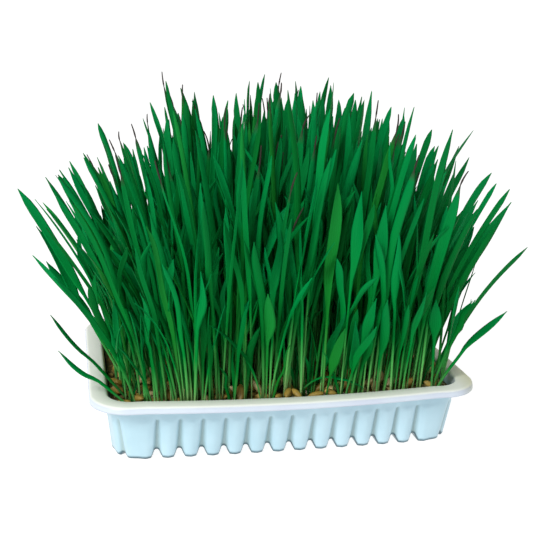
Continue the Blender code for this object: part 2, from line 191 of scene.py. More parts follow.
# Broad leaves that stand out in front: root x, tip x, tip z and width
SHOWN_ROOT_YS = (-0.0545, -0.0535, -0.0555, -0.0525)
SHOWN_TIP_Y = -0.069
SHOWN_LEAVES = (
    (-0.010, -0.012, 0.108, 0.0068),
    (0.009, 0.009, 0.109, 0.008),
    (0.007, 0.003, 0.120, 0.0058),
    (0.034, 0.035, 0.117, 0.006),
    (0.048, 0.041, 0.106, 0.0054),
    (0.023, 0.024, 0.123, 0.006),
    (0.010, 0.011, 0.086, 0.0076),
    (0.028, 0.033, 0.076, 0.0076),
    (-0.044, -0.044, 0.090, 0.0062),
    (-0.033, -0.030, 0.080, 0.0054),
    (-0.048, -0.065, 0.115, 0.006),
    (0.053, 0.055, 0.078, 0.0056),
)


class Blade(namedtuple("Blade", "root control tip width turn")):
    """A blade's curve from root to tip, its greatest width and the way that it faces, in radians."""

    def at(self, share):
        return (self.root * (1 - share) ** 2 + self.control * (2 * share * (1 - share))
                + self.tip * share ** 2)

    def heading(self, share):
        return ((self.control - self.root) * (1 - share) + (self.tip - self.control) * share).normalized()

    def after(self, share):
        """The same curve from a share of its length on."""
        return self._replace(root=self.at(share), control=self.control.lerp(self.tip, share))


def lerp(a, b, t):
    return a + (b - a) * t


def smooth(low, high, value):
    t = min(max((value - low) / (high - low), 0.0), 1.0)
    return t * t * (3 - 2 * t)


def direction(angle, rise=0.0):
    return Vector((math.cos(angle), math.sin(angle), rise))


def lists_of(mesh):
    """Points and faces of a bmesh, which is freed."""
    mesh.verts.index_update()
    points = [vertex.co.copy() for vertex in mesh.verts]
    faces = [tuple(vertex.index for vertex in face.verts) for face in mesh.faces]
    mesh.free()
    return points, faces


def link(name, data):
    obj = bpy.data.objects.new(name, data)
    bpy.context.scene.collection.objects.link(obj)
    return obj


def link_mesh(name, points, faces, material):
    mesh = bpy.data.meshes.new(name)
    mesh.from_pydata(points, [], faces)
    mesh.materials.append(material)
    mesh.shade_smooth()
    return link(name, mesh)


def add_values(obj, name, values):
    """A number or a colour for each point of a mesh, for its material to read."""
    if isinstance(values[0], tuple):
        layer, key = obj.data.color_attributes.new(name, "FLOAT_COLOR", "POINT"), "color"
    else:
        layer, key = obj.data.attributes.new(name, "FLOAT", "POINT"), "value"
    layer.data.foreach_set(key, np.array(values, np.float32).ravel())


# Materials

class Nodes:
    """A short way to write a node tree around one Principled shader."""

    def __init__(self, name):
        self.material = bpy.data.materials.new(name)
        self.material.use_nodes = True
        self.tree = self.material.node_tree
        self.shader = self.tree.nodes["Principled BSDF"]

    def add(self, kind, links=(), **settings):
        node = self.tree.nodes.new(kind)
        for key, value in settings.items():
            setattr(node, key, value)
        for socket, value in dict(links).items():
            self.set(node.inputs[socket], value)
        return node

    def set(self, socket, value):
        if isinstance(value, bpy.types.NodeSocket):
            self.tree.links.new(value, socket)
        else:
            socket.default_value = value

    def noise(self, scale, detail=4.0, stretch=None):
        vector = self.add("ShaderNodeTexCoord").outputs["Object"]
        if stretch:
            vector = self.add("ShaderNodeMapping", {"Vector": vector, "Scale": stretch}).outputs[0]
        links = {"Vector": vector, "Scale": scale, "Detail": detail}
        return self.add("ShaderNodeTexNoise", links).outputs["Fac"]

    def ramp(self, factor, *stops):
        node = self.add("ShaderNodeValToRGB", {"Fac": factor})
        elements = node.color_ramp.elements
        while len(elements) < len(stops):
            elements.new(0.5)
        for element, (place, colour) in zip(elements, stops):
            element.position = place
            element.color = (*colour, 1.0)
        return node.outputs["Color"]

    def attribute(self, name):
        return self.add("ShaderNodeAttribute", attribute_name=name).outputs["Fac"]

    def fade(self, value, low, high, least=0.0, most=1.0):
        """least where the value is low, and most where it is high."""
        links = {"Value": value, "From Min": low, "From Max": high, "To Min": least, "To Max": most}
        return self.add("ShaderNodeMapRange", links).outputs[0]

    def math(self, operation, a, b=0.0, c=0.0):
        return self.add("ShaderNodeMath", {0: a, 1: b, 2: c}, operation=operation).outputs[0]

    def times(self, a, b):
        return self.math("MULTIPLY", a, b)

    def mix(self, factor, a, b, blend="MIX"):
        node = self.add("ShaderNodeMix", data_type="RGBA", blend_type=blend)
        self.set(node.inputs["Factor"], factor)
        for socket, value in ((node.inputs[6], a), (node.inputs[7], b)):
            self.set(socket, (*value, 1.0) if isinstance(value, tuple) else value)
        return node.outputs[2]

    def bump(self, height, strength, distance):
        links = {"Height": height, "Strength": strength, "Distance": distance}
        self.set(self.shader.inputs["Normal"], self.add("ShaderNodeBump", links).outputs[0])

    def finish(self, **inputs):
        for name, value in inputs.items():
            self.set(self.shader.inputs[name.replace("_", " ")], value)
        return self.material


def plastic_material():
    """White at the rim and bluish on the walls, with painted shade on the skirt, painted light and a
    painted reflection of the grass on the flange top, painted shade in the grooves and a little under the
    tray, painted shade and a painted reflection of the grass at the right end, and a painted dark shadow
    line along the feet, fainter under the tray."""
    nodes = Nodes("white_plastic")
    place = nodes.add("ShaderNodeSeparateXYZ", {0: nodes.add("ShaderNodeTexCoord").outputs["Object"]})
    height = place.outputs["Z"]
    skirt_foot = TRAY_HEIGHT - SKIRT_DROP
    rim = nodes.fade(height, skirt_foot - 0.0008, skirt_foot)
    top = nodes.fade(height, TRAY_HEIGHT - 0.0009, TRAY_HEIGHT - 0.0002)
    clouds = nodes.noise(45.0, 5.0)
    wall = nodes.ramp(clouds, (0.35, (0.40, 0.59, 0.68)), (0.65, (0.46, 0.65, 0.74)))
    # Painted light on one sheet of plastic: the skirt is painted darker and bluer as painted shade, and
    # the flange top lighter and warmer as painted light and a painted reflection of the grass.
    shaded_skirt = nodes.ramp(clouds, (0.35, (0.55, 0.61, 0.72)), (0.65, (0.60, 0.68, 0.76)))
    lit_flange = nodes.ramp(clouds, (0.35, (0.90, 0.94, 0.87)), (0.65, (0.93, 0.96, 0.91)))
    colour = nodes.mix(rim, wall, nodes.mix(top, shaded_skirt, lit_flange))
    # Painted shade: darker grey-green in the grooves by their depth, and a little under the tray.
    colour = nodes.mix(nodes.times(nodes.attribute("groove"), 0.75), colour, (0.30, 0.41, 0.40))
    # Painted shade and a painted yellow-green reflection of the grass on the right end of the tray.
    painted_shade_right_end = nodes.fade(place.outputs["X"], 0.079, 0.089)
    colour = nodes.mix(painted_shade_right_end, colour, (0.78, 0.76, 0.52), "MULTIPLY")
    # Painted contact shadow: a dark, blotchy line along the feet and the tops of the notches, fainter
    # under the tray.
    shadow_line_colour = nodes.ramp(nodes.noise(500.0, 3.0), (0.35, (0.01, 0.05, 0.07)), (0.7, (0.05, 0.13, 0.17)))
    colour = nodes.mix(nodes.times(nodes.attribute("foot_shadow"), 0.95), colour, shadow_line_colour)
    nodes.bump(nodes.noise(420.0, 2.0), 0.10, 0.0003)
    return nodes.finish(Base_Color=colour, Roughness=nodes.fade(nodes.noise(160.0), 0.0, 1.0, 0.26, 0.38))


def soil_material():
    nodes = Nodes("growing_medium")
    coarse = nodes.noise(420.0, 8.0)
    fibres = nodes.noise(300.0, 3.0, (1.0, 6.0, 1.0))
    colour = nodes.ramp(
        coarse, (0.3, (0.016, 0.013, 0.004)), (0.5, (0.1, 0.07, 0.018)), (0.7, (0.36, 0.25, 0.06)))
    colour = nodes.mix(nodes.times(fibres, 0.35), colour, (0.27, 0.20, 0.06))
    nodes.bump(coarse, 0.9, 0.0012)
    return nodes.finish(Base_Color=colour, Roughness=0.92)


def grain_material():
    nodes = Nodes("grain_husk")
    streaks = nodes.noise(1100.0, 4.0, (0.25, 1.0, 1.0))
    husk = nodes.ramp(
        nodes.attribute("tone"), (0.0, (0.19, 0.12, 0.015)), (0.4, (0.40, 0.27, 0.048)),
        (0.75, (0.60, 0.45, 0.13)), (1.0, (0.80, 0.70, 0.40)))
    colour = nodes.mix(nodes.fade(streaks, 0.45, 0.75, most=0.6), husk, (0.17, 0.11, 0.02))
    nodes.bump(streaks, 0.5, 0.0005)
    return nodes.finish(Base_Color=colour, Roughness=0.5)


def root_material():
    nodes = Nodes("fine_roots")
    colour = nodes.ramp(nodes.noise(700.0), (0.3, (0.40, 0.33, 0.18)), (0.7, (0.72, 0.68, 0.50)))
    return nodes.finish(Base_Color=colour, Roughness=0.6)


def grass_material():
    """Pale sheaths at the foot, emerald blades with lengthwise veins, and dry threads at some tips."""
    nodes = Nodes("grass_green")
    leaf = nodes.add("ShaderNodeAttribute", attribute_name="leaf")
    along, across, tone = nodes.add("ShaderNodeSeparateColor", {"Color": leaf.outputs["Color"]}).outputs
    dry = leaf.outputs["Alpha"]
    dull = nodes.ramp(
        along, (0.0, (0.10, 0.24, 0.045)), (0.13, (0.012, 0.16, 0.022)),
        (0.35, (0.0, 0.098, 0.008)), (1.0, (0.0, 0.1, 0.014)))
    bright = nodes.ramp(
        along, (0.0, (0.52, 0.68, 0.30)), (0.13, (0.12, 0.46, 0.11)),
        (0.35, (0.0, 0.216, 0.03)), (1.0, (0.0, 0.216, 0.055)))
    colour = nodes.mix(tone, dull, bright)
    warm = nodes.math("GREATER_THAN", nodes.math("FRACT", nodes.times(tone, 7.31)), 0.94)
    colour = nodes.mix(nodes.times(warm, 0.5), colour, (0.012, 0.17, 0.010))
    veins = nodes.math("SINE", nodes.times(across, 40.0))
    patchy = nodes.noise(110.0, 4.0, (1.0, 1.0, 0.25))
    streak = nodes.times(nodes.math("MULTIPLY_ADD", veins, 0.5, 0.5), patchy)
    colour = nodes.mix(nodes.times(streak, 0.30), colour, (0.004, 0.28, 0.060))
    colour = nodes.mix(dry, colour, (0.040, 0.033, 0.028))
    nodes.bump(veins, 0.18, 0.0002)
    return nodes.finish(Base_Color=colour, Roughness=0.50, Specular_IOR_Level=0.03)


def floor_material():
    return Nodes("floor").finish(
        Base_Color=(0.30, 0.30, 0.30, 1.0), Roughness=0.9, Specular_IOR_Level=0.0,
        Emission_Color=(1.0, 1.0, 1.0, 1.0), Emission_Strength=0.93)


# Faces of tubes

def ring_faces(lower, upper, count):
    """Faces between two rings of points, each given by the index of its first point."""
    pairs = [(side, (side + 1) % count) for side in range(count)]
    return [(lower + side, lower + after, upper + after, upper + side) for side, after in pairs]


def loft_faces(rings, around):
    """Faces of a closed tube whose two ends are single points, after the rings."""
    faces = []
    for ring in range(rings - 1):
        faces += ring_faces(ring * around, (ring + 1) * around, around)
    start, last = rings * around, (rings - 1) * around
    for side in range(around):
        after = (side + 1) % around
        faces += [(after, side, start), (last + side, last + after, start + 1)]
    return faces


# Tray

def side_places(count):
    """(place, distance from the nearest groove's middle) along one side."""
    found = []
    for index in range(count):
        middle = (index - (count - 1) / 2) * GROOVE_PITCH
        found += [(middle + place, place) for place in (-GROOVE_PITCH / 2, *GROOVE_PLACES)]
    return found + [(count / 2 * GROOVE_PITCH, GROOVE_PITCH / 2)]


def corner_places():
    """(angle, distance from the corner groove's middle) round one corner."""
    inner = [(math.radians(45) + place / WALL_RADIUS, place) for place in GROOVE_PLACES]
    outer = [(math.radians(angle), GROOVE_PITCH) for angle in (7, 16, 74, 83)]
    return sorted(inner + outer)


def flute(distance, down):
    """How far the wall goes in at a groove, or out at a rib. down is 0 under the band, 1 at the feet."""
    distance = abs(distance)
    width = lerp(lerp(GROOVE_HALF_TOP, GROOVE_HALF_LOW, down), NOTCH_HALF, smooth(0.80, 1.0, down))
    sunk = lerp(0.8, 1.0, down) * GROOVE_DEPTH * smooth(0.0, 0.12, down)
    dip = sunk * (1.0 - smooth(0.1, 1.0, distance / width))
    if distance > GROOVE_PITCH / 2:
        return dip
    crown = RIB_CROWN * smooth(0.0, 0.15, down) * smooth(width * 0.7, GROOVE_PITCH / 2, distance)
    return dip - crown


def foot_height(distance):
    """Height of the notch between two feet, flat in the middle and sloping down to the feet."""
    return CHANNEL_HEIGHT * (1.0 - smooth(NOTCH_FLAT, NOTCH_HALF, abs(distance)))


def wall_inset(z):
    return lerp(FOOT_INSET, FLANGE - SHEET, z / (TRAY_HEIGHT - SHEET))


def wall_step(down, distance):
    """A step of the profile on the fluted wall. down is 0 under the band, 1 at the feet."""
    low = foot_height(distance) + FOOT_ROUND
    z = lerp(GROOVE_TOP, low, down)
    bow = lerp(RIM_BOW, FOOT_BOW, down)
    dip = flute(distance, down)
    # Painted shadow line, rising at the foot of the wall.
    foot_shadow = WALL_FOOT_SHADOW * smooth(0.965, 1.0, down)
    return wall_inset(z) + dip, z, WALL_RADIUS, bow, max(dip / GROOVE_DEPTH, 0.0), foot_shadow


def foot_step(angle, distance):
    """A step of the profile where the sheet turns under at a foot, by an angle."""
    low = foot_height(distance)
    dip = flute(distance, 1.0)
    tuck = FOOT_ROUND * (1 - math.cos(angle))
    inset = wall_inset(low + FOOT_ROUND) + dip + tuck
    z = low + FOOT_ROUND * (1 - math.sin(angle))
    # Painted shadow line, full where the sheet turns under.
    foot_shadow = lerp(WALL_FOOT_SHADOW, 1.0, smooth(0.0, math.radians(24), angle))
    return inset, z, WALL_RADIUS - tuck, FOOT_BOW, max(dip / GROOVE_DEPTH, 0.0), foot_shadow


def tray_profile():
    """Steps down the sheet's underside. A step gives (inset, z, radius, bow, groove, foot_shadow) for a
    distance from a groove's middle. groove is the share of a groove's full depth, and foot_shadow is the
    share of the painted dark shadow line, 1 where the sheet turns under at a foot."""
    under = TRAY_HEIGHT - SHEET
    rim_radius = RIM_RADIUS - SHEET
    steps = []

    def plain(inset, z, radius):
        steps.append(lambda distance: (inset, z, radius, RIM_BOW, 0.0, 0.0))

    skirt_foot = TRAY_HEIGHT - SKIRT_DROP
    for z in (skirt_foot, skirt_foot + SKIRT_EDGE, under - RIM_FOLD):
        plain(SHEET - (under - z) * SKIRT_FLARE, z, rim_radius)
    for angle in map(math.radians, (22, 45, 68, 90)):
        inset = SHEET + RIM_FOLD * (1 - math.cos(angle))
        plain(inset, under - RIM_FOLD * (1 - math.sin(angle)), rim_radius)
    inner = wall_inset(under)
    for share in (0.25, 0.5, 0.75):
        inset = lerp(SHEET + RIM_FOLD, inner - LIP_FOLD, share)
        crown = FLANGE_CROWN * math.sin(share * math.pi)
        plain(inset, under + crown, lerp(rim_radius, WALL_RADIUS + LIP_FOLD, share))
    for angle in map(math.radians, (0, 20, 45, 70, 90)):
        out = LIP_FOLD * (1 - math.sin(angle))
        plain(inner - out, under - LIP_FOLD * (1 - math.cos(angle)), WALL_RADIUS + out)
    for z in BAND_HEIGHTS:
        plain(wall_inset(z), z, WALL_RADIUS)

    steps += [partial(wall_step, down) for down in WALL_SHARES]
    return steps + [partial(foot_step, math.radians(turn)) for turn in (22, 45, 68, 90)]


def bow_at(along, bow):
    share = along / (FRONT_GROOVES / 2 * GROOVE_PITCH)
    return bow * max(1 - share ** 2, 0.0)


def tray_ring(step):
    """(point, groove, foot_shadow) of one profile step round the tray, counterclockwise from above."""
    found = []
    for side in range(4):
        along = direction(side * math.pi / 2)
        out = Vector((along.y, -along.x, 0.0))
        is_long = side % 2 == 0
        half, other = (RIM_DEPTH / 2, RIM_WIDTH / 2) if is_long else (RIM_WIDTH / 2, RIM_DEPTH / 2)
        for at, distance in side_places(FRONT_GROOVES if is_long else SIDE_GROOVES):
            inset, z, _, bow, groove, foot_shadow = step(distance)
            push = bow_at(at, bow) if is_long else 0.0
            found.append((along * at + out * (half - inset + push) + Vector((0, 0, z)), groove, foot_shadow))
        for angle, distance in corner_places():
            inset, z, radius, _, groove, foot_shadow = step(distance)
            straight, low = step(GROOVE_PITCH)[:2]
            inset, z = lerp(straight, inset, CORNER_GROOVE_SHARE), lerp(low, z, CORNER_GROOVE_SHARE)
            centre = along * (other - straight - radius) + out * (half - straight - radius)
            towards = out * math.cos(angle) + along * math.sin(angle)
            point = centre + towards * (radius - inset + straight) + Vector((0, 0, z))
            found.append((point, groove, foot_shadow))
    return found


def base_height(x, x_distance, y_distance):
    """Height of the underside: channels from front to back, and short ones at the two ends."""
    first = (FRONT_GROOVES - 1) / 2 * GROOVE_PITCH
    in_margin = smooth(first, first + 0.0012, abs(x))
    return max(foot_height(x_distance), foot_height(y_distance) * in_margin)


def build_tray(material):
    steps = tray_profile()
    found = [place for step in steps for place in tray_ring(step)]
    points, grooves, foot_shadows = (list(values) for values in zip(*found))
    ring = len(points) // len(steps)
    faces = []
    for level in range(len(steps) - 1):
        faces += ring_faces((level + 1) * ring, level * ring, ring)
    across, deep = side_places(FRONT_GROOVES), side_places(SIDE_GROOVES)
    first = len(points)
    for x, x_distance in across:
        for y, y_distance in deep:
            points.append(Vector((x, y, base_height(x, x_distance, y_distance))))
    rows = len(deep)
    front = [first + column * rows for column in range(len(across))]
    for column in front[:-1]:
        for corner in range(column, column + rows - 1):
            faces.append((corner, corner + 1, corner + rows + 1, corner + rows))
    right = [front[-1] + row for row in range(rows)]
    back = [vertex + rows - 1 for vertex in reversed(front)]
    left = [first + row for row in reversed(range(rows))]
    arc = len(corner_places())
    rim = [vertex for side in (front, right, back, left) for vertex in side + side[-1:] * arc]
    outer = (len(steps) - 1) * ring
    for index in range(ring):
        after = (index + 1) % ring
        corners = [rim[index], rim[after], outer + after, outer + index]
        if rim[index] == rim[after]:
            corners.pop(0)
        faces.append(tuple(corners))
    under = len(points) - len(grooves)
    tray = link_mesh("tray_shell", points, faces, material)
    # The underside gets a share of the painted groove shade and of the painted shadow line.
    add_values(tray, "groove", grooves + [UNDERSIDE_GROOVE_SHADE] * under)
    add_values(tray, "foot_shadow", foot_shadows + [UNDERSIDE_SHADOW] * under)
    sheet = tray.modifiers.new("sheet", "SOLIDIFY")
    sheet.thickness, sheet.offset, sheet.use_even_offset = SHEET, -1.0, True
    return tray


# Bed of sprouted grain

def pull_inside(x, y, edge):
    """The point, pulled in to a rounded outline where it lies outside it."""
    inset, radius, bow = edge
    half_x, half_y = RIM_WIDTH / 2 - inset, RIM_DEPTH / 2 - inset
    y /= 1 + bow_at(x, bow) / half_y
    x = min(max(x, -half_x), half_x)
    y = min(max(y, -half_y), half_y)
    over_x, over_y = abs(x) - (half_x - radius), abs(y) - (half_y - radius)
    if over_x > 0 and over_y > 0:
        length = math.hypot(over_x, over_y)
        if length > radius:
            x = math.copysign(half_x - radius + over_x * radius / length, x)
            y = math.copysign(half_y - radius + over_y * radius / length, y)
    return x, y * (1 + bow_at(x, bow) / half_y)


def strewn(dice, spread, edge):
    """A place anywhere on the bed, inside the edge."""
    half_x, half_y = spread
    return pull_inside(dice.uniform(-half_x, half_x), dice.uniform(-half_y, half_y), edge)


def bed_height(x, y):
    """Top of the bed: low lumps of medium, a little lower at the wall."""
    lumps = noise.fractal(Vector((x, y, 0.3)) * 130, 0.9, 2.1, 4)
    fine = noise.noise(Vector((x, y, 1.7)) * 520)
    return MAT_TOP + BED_RISE + LUMP_HEIGHT * lumps + FINE_LUMP_HEIGHT * fine


def build_bed(material):
    """The mat as one closed solid with a lumpy top."""
    half_x, half_y = RIM_WIDTH / 2 - BED_EDGE.inset, RIM_DEPTH / 2 - BED_EDGE.inset + BED_EDGE.bow
    across, deep = int(2 * half_x / BED_CELL), int(2 * half_y / BED_CELL)
    mesh = bmesh.new()
    grid = []
    for column in range(across + 1):
        line = []
        for row in range(deep + 1):
            x = lerp(-half_x, half_x, column / across)
            x, y = pull_inside(x, lerp(-half_y, half_y, row / deep), BED_EDGE)
            line.append(mesh.verts.new((x, y, bed_height(x, y))))
        grid.append(line)
    for left, right in zip(grid, grid[1:]):
        for row in range(deep):
            mesh.faces.new((left[row], right[row], right[row + 1], left[row + 1]))
    bmesh.ops.remove_doubles(mesh, verts=mesh.verts, dist=BED_WELD)
    edges = [edge for edge in mesh.edges if edge.is_boundary]
    walls = bmesh.ops.extrude_edge_only(mesh, edges=edges)["geom"]
    bottom = [item for item in walls if isinstance(item, bmesh.types.BMVert)]
    for vertex in bottom:
        vertex.co.z = MEDIUM_TOP + GAP
        vertex.co.xy *= BED_TAPER
    rim = [item for item in walls if isinstance(item, bmesh.types.BMEdge)]
    bmesh.ops.edgeloop_fill(mesh, edges=rim)
    bmesh.ops.recalc_face_normals(mesh, faces=mesh.faces)
    return link_mesh("sprouted_bed", *lists_of(mesh), material)


class Batch:
    """Many small closed shapes gathered into one mesh, with values at the points where it needs them."""

    def __init__(self):
        self.points, self.faces, self.values = [], [], []

    def add(self, points, faces, values=()):
        base = len(self.points)
        self.points += points
        self.faces += [tuple(base + index for index in face) for face in faces]
        self.values += values

    def build(self, name, material, attribute=None):
        obj = link_mesh(name, self.points, self.faces, material)
        if attribute:
            add_values(obj, attribute, self.values)
        return obj


def turns(count):
    return [2 * math.pi * step / count for step in range(count)]


def grain_points(middle, turn, tilt, size, roll):
    """A grain: a plump spindle with a crease along one side."""
    rings, around = 9, 10
    axis = direction(turn, tilt).normalized()
    side = axis.cross(Vector((0, 0, 1))).normalized()
    up = side.cross(axis)
    half = SEED_LENGTH / 2 * size
    radius = SEED_THICKNESS / 2 * size
    points = []
    for ring in range(rings):
        share = (ring + 0.5) / rings * 2 - 1
        bulge = radius * (1 - abs(share) ** 2.3) ** 0.62
        for angle in turns(around):
            angle += roll
            crease = 1 - 0.30 * math.exp(-((math.cos(angle - roll) - 1) / 0.12) ** 2)
            out = side * math.cos(angle) + up * math.sin(angle) * 0.86
            points.append(middle + axis * share * half + out * bulge * crease)
    points += [middle - axis * half * 1.02, middle + axis * half * 1.06]
    return points, loft_faces(rings, around)


def grain_at(middle, turn, tilt, size):
    """The plain spindle that the CAD grain is, for keeping grains apart."""
    mesh = bmesh.new()
    bmesh.ops.create_uvsphere(mesh, u_segments=4, v_segments=3, radius=0.5)
    rotation = direction(turn, tilt).normalized().to_track_quat("Z", "Y").to_matrix()
    for vertex in mesh.verts:
        x, y, z = vertex.co
        level = Vector((x * SEED_THICKNESS, y * SEED_THICKNESS, z * SEED_LENGTH)) * size
        vertex.co = middle + rotation @ level
    return lists_of(mesh)


def plan_cad_grains(crowd):
    """The grains of the CAD mat, drawn by its rule."""
    dice = random.Random(SEED_OF_SEEDS)
    pitch = 2 * -FIRST_ROW_Y / (ROWS - 1)
    step = 2 * ROW_HALF / SEEDS_PER_STRIP
    placed = []
    for strip in range(ROWS - 1):
        for place in range(SEEDS_PER_STRIP):
            x = -ROW_HALF + (place + dice.uniform(0.2, 0.8)) * step
            y = row_y(strip) + pitch * dice.uniform(0.45, 0.55)
            middle = Vector((x, y, MAT_TOP + dice.uniform(*SEED_LIFT)))
            turn = dice.uniform(-0.35, 0.35)
            grain = (middle, turn, dice.uniform(-0.2, 0.2), dice.uniform(0.85, 1.1))
            if crowd.takes(grain_at(*grain)):
                placed.append(grain)
    return placed


def lies_inside(grain):
    """Whether both ends of a grain are inside the tray's wall."""
    middle, turn, tilt, size = grain
    reach = direction(turn, tilt).normalized() * SEED_LENGTH / 2 * size
    for end in (middle - reach, middle + reach):
        x, y = pull_inside(end.x, end.y, GRAIN_END_EDGE)
        if math.hypot(x - end.x, y - end.y) > 1e-6:
            return False
    return True


def plan_more_grains(dice, crowd):
    """Grains all over the bed. Each is let down until it would meet a stem, a grain or the bed."""
    placed = []
    for _ in range(MORE_GRAINS):
        x, y = strewn(dice, GRAIN_SPREAD, GRAIN_EDGE)
        turn, tilt = dice.uniform(-math.pi, math.pi), dice.gauss(0, GRAIN_TILT)
        size = dice.uniform(*GRAIN_SIZES)
        resting = None
        for drop in range(GRAIN_DROPS):
            z = bed_height(x, y) + GRAIN_PILE * (1 - drop / GRAIN_DROPS)
            grain = (Vector((x, y, z)), turn, tilt, size)
            if not crowd.has_room(grain_at(*grain)):
                break
            resting = grain
        if resting and lies_inside(resting):
            placed.append(resting)
            crowd.add(grain_at(*resting))
    return placed


def build_grains(dice, grains, material):
    batch = Batch()
    for middle, turn, tilt, size in grains:
        points, faces = grain_points(middle, turn, tilt, size, dice.uniform(0, 6.28))
        tone = dice.random() ** 1.2
        batch.add(points, faces, [tone] * len(points))
    return batch.build("grains", material, "tone")


def build_crumbs(dice, material):
    """Loose crumbs of medium between the grains."""
    batch = Batch()
    mesh = bmesh.new()
    bmesh.ops.create_icosphere(mesh, subdivisions=2, radius=1.0)
    ball, faces = lists_of(mesh)
    for _ in range(CRUMBS):
        x, y = strewn(dice, CRUMB_SPREAD, CRUMB_EDGE)
        size = dice.uniform(*CRUMB_RADII)
        middle = Vector((x, y, bed_height(x, y) + size * 0.4))
        lumpy = [middle + point * size * (1 + 0.5 * noise.noise(point * 1.7 + middle * 900))
                 for point in ball]
        batch.add(lumpy, faces)
    return batch.build("crumbs", material)


def tube(path, radius, around=5):
    """A closed tube through the points of a path."""
    points = []
    for index, centre in enumerate(path):
        along = (path[min(index + 1, len(path) - 1)] - path[max(index - 1, 0)]).normalized()
        side = along.cross(Vector((0.3, 0.2, 1.0))).normalized()
        up = side.cross(along)
        for angle in turns(around):
            points.append(centre + (side * math.cos(angle) + up * math.sin(angle)) * radius)
    points += [path[0], path[-1]]
    return points, loft_faces(len(path), around)


def build_roots(dice, material):
    """Pale root hairs that lie over the grains."""
    batch = Batch()
    for _ in range(ROOT_HAIRS):
        x, y = strewn(dice, HAIR_SPREAD, HAIR_EDGE)
        heading = dice.uniform(0, 2 * math.pi)
        bend, lift = dice.uniform(-0.5, 0.5), dice.uniform(0.0006, 0.0016)
        path, place = [], Vector((x, y, 0.0))
        for step in range(HAIR_STEPS):
            share = step / (HAIR_STEPS - 1)
            x, y = pull_inside(place.x, place.y, GRAIN_EDGE)
            path.append(Vector((x, y, bed_height(x, y) - 0.0003 + lift * math.sin(math.pi * share))))
            heading += bend
            place += direction(heading) * HAIR_STEP
        batch.add(*tube(path, dice.uniform(*HAIR_RADII)))
    return batch.build("root_hairs", material)


# Grass

def row_y(row):
    return lerp(FIRST_ROW_Y, -FIRST_ROW_Y, row / (ROWS - 1))


def stand_height(x):
    """Height of the longest blades, which is greatest a little right of the middle."""
    return BLADE_LENGTH - EDGE_SHORTER * (abs(x - CREST_X) / ROW_HALF) ** 2.6


def field_blade(dice, row, x):
    """A blade of the even field, drawn as in the CAD row."""
    root = Vector((x, row_y(row), MAT_TOP + ROOT_PROUD - STEM_SUNK))
    across = x / ROW_HALF
    deep = root.y / FIRST_ROW_Y
    height = stand_height(x) * dice.triangular(*LENGTH_SHARES)
    side_splay = RIGHT_SPLAY if x > 0 else LEFT_SPLAY
    splay_x = math.copysign(side_splay * abs(across) ** 1.7, across) + dice.uniform(-SWAY, SWAY)
    splay_y = -DEPTH_SPLAY * deep + dice.uniform(-SWAY, SWAY)
    tip = root + Vector((splay_x, splay_y, height))
    control = root + Vector((splay_x * 0.25, splay_y * 0.25, height * dice.uniform(0.5, 0.6)))
    return Blade(root, control, tip, dice.uniform(*BLADE_WIDTHS), dice.uniform(-0.65, 0.65))


def stray_blade(stray):
    row, x, control, tip, width, _ = stray
    root = Vector((x, row_y(row), MAT_TOP + ROOT_PROUD - STEM_SUNK))
    lean = Vector(tip) - root
    turn = math.radians(60) if lean.z < abs(lean.x) * 1.6 else math.radians(20)
    return Blade(root, Vector(control), Vector(tip), width, math.copysign(turn, -lean.x))


def three_sided(blade, shares, widths, depths):
    """Closed blade with two edges and a keel, for keeping blades apart."""
    path = [blade.at(share) for share in shares]
    edge = direction(blade.turn)
    points, faces = [], [(0, 2, 1)]
    for index, (centre, width, depth) in enumerate(zip(path, widths, depths)):
        along = path[index + 1] - path[max(index - 1, 0)]
        keel = along.cross(edge).normalized()
        back = centre - keel * depth / 3
        points += [back - edge * width / 2, back + edge * width / 2, centre + keel * depth * 2 / 3]
    points.append(path[-1])
    for ring in range(0, len(points) - 4, 3):
        for side in range(3):
            low, after = ring + side, ring + (side + 1) % 3
            faces += [(low, after, after + 3), (low, after + 3, low + 3)]
    last = len(points) - 1
    faces += [(last - 3, last - 2, last), (last - 2, last - 1, last), (last - 1, last - 3, last)]
    return points, faces


def blade_solid(blade, extra=0.0):
    """The blade that the CAD row holds, made larger all round by half of extra."""
    widths = [width + extra for width in (STEM_ROOT_WIDTH, STEM_WIDTH, blade.width)]
    return three_sided(blade, SECTIONS, widths, [depth + extra for depth in BLADE_DEPTHS])


def core_solid(blade):
    """A plain solid round the middle of the finer leaf."""
    widths = (SLIM_ROOT_WIDTH, SLIM_STEM_WIDTH, blade.width * CORE_SHARE, blade.width * CORE_SHARE * 0.8)
    return three_sided(blade, FINE_SECTIONS, widths, FINE_DEPTHS)


def box_of(points):
    return [(min(p[axis] for p in points), max(p[axis] for p in points)) for axis in range(3)]


class Crowd:
    """Solids that keep clear of one another, found by the upright columns that their boxes cover."""

    def __init__(self):
        self.columns = defaultdict(list)

    def columns_of(self, box):
        xs, ys = (range(math.floor(low / CROWD_CELL), math.floor(high / CROWD_CELL) + 1)
                  for low, high in box[:2])
        return [(x, y) for x in xs for y in ys]

    def add(self, solid):
        box = box_of(solid[0])
        entry = (box, BVHTree.FromPolygons(*solid))
        for column in self.columns_of(box):
            self.columns[column].append(entry)

    def has_room(self, solid):
        box = box_of(solid[0])
        entries = {id(entry): entry for column in self.columns_of(box) for entry in self.columns[column]}
        near = [tree for other, tree in entries.values()
                if all(a[0] <= b[1] and b[0] <= a[1] for a, b in zip(box, other))]
        if not near:
            return True
        own = BVHTree.FromPolygons(*solid)
        return not any(own.overlap(tree) for tree in near)

    def takes(self, solid):
        """Add a solid if it has room, and say whether it had."""
        has_room = self.has_room(solid)
        if has_room:
            self.add(solid)
        return has_room


